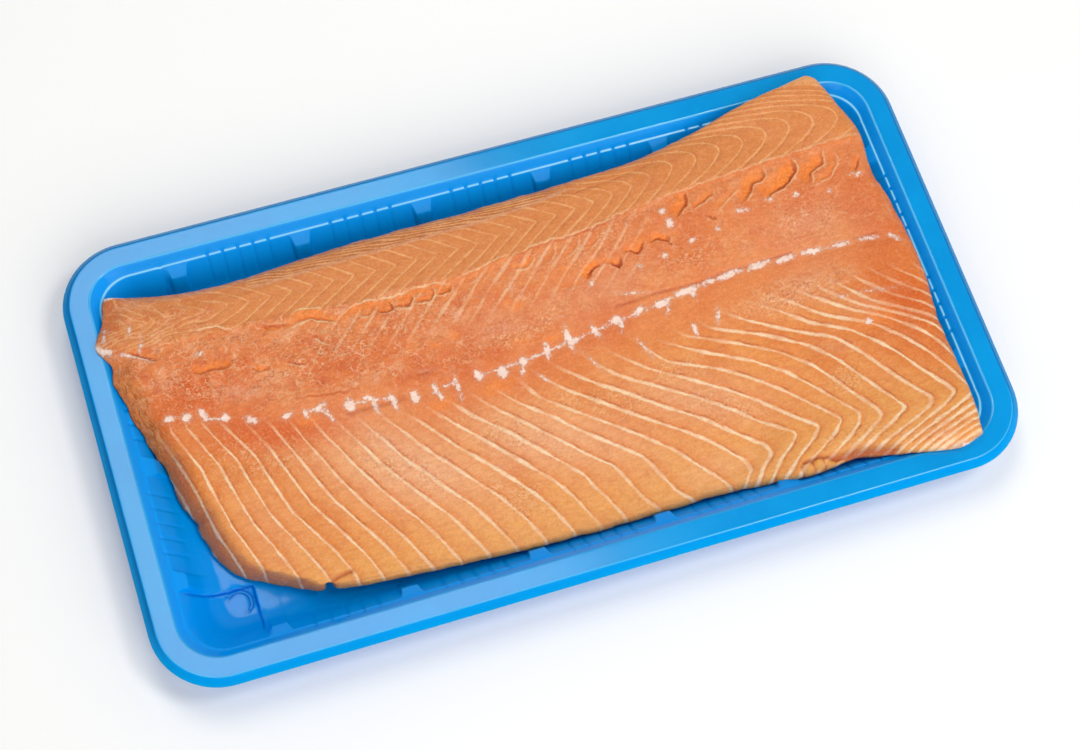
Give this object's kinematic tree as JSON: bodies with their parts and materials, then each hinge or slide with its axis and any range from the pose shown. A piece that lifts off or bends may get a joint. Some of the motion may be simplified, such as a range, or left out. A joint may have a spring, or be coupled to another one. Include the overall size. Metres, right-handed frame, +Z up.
{
  "type": "raw fish fillet in a plastic tray",
  "caption": "Whole raw fish fillet lying flesh side up in a shallow rounded blue plastic tray with a flat flange, fluted walls and corner feet.",
  "frame": {"origin": "bottom centre of the pack, in the plane of the tray's feet", "axes": "+X along the tray, +Y across it from the fillet's belly edge to its back, +Z up"},
  "size_m": [0.406, 0.219, 0.0336],
  "materials": {
    "tray_plastic": "smooth blue thermoformed sheet",
    "raw_flesh": "moist raw fish flesh with pale seams"
  },
  "bodies": {
    "root": {"tray": "tray_plastic", "fillet": "raw_flesh"}
  },
  "joints": []
}
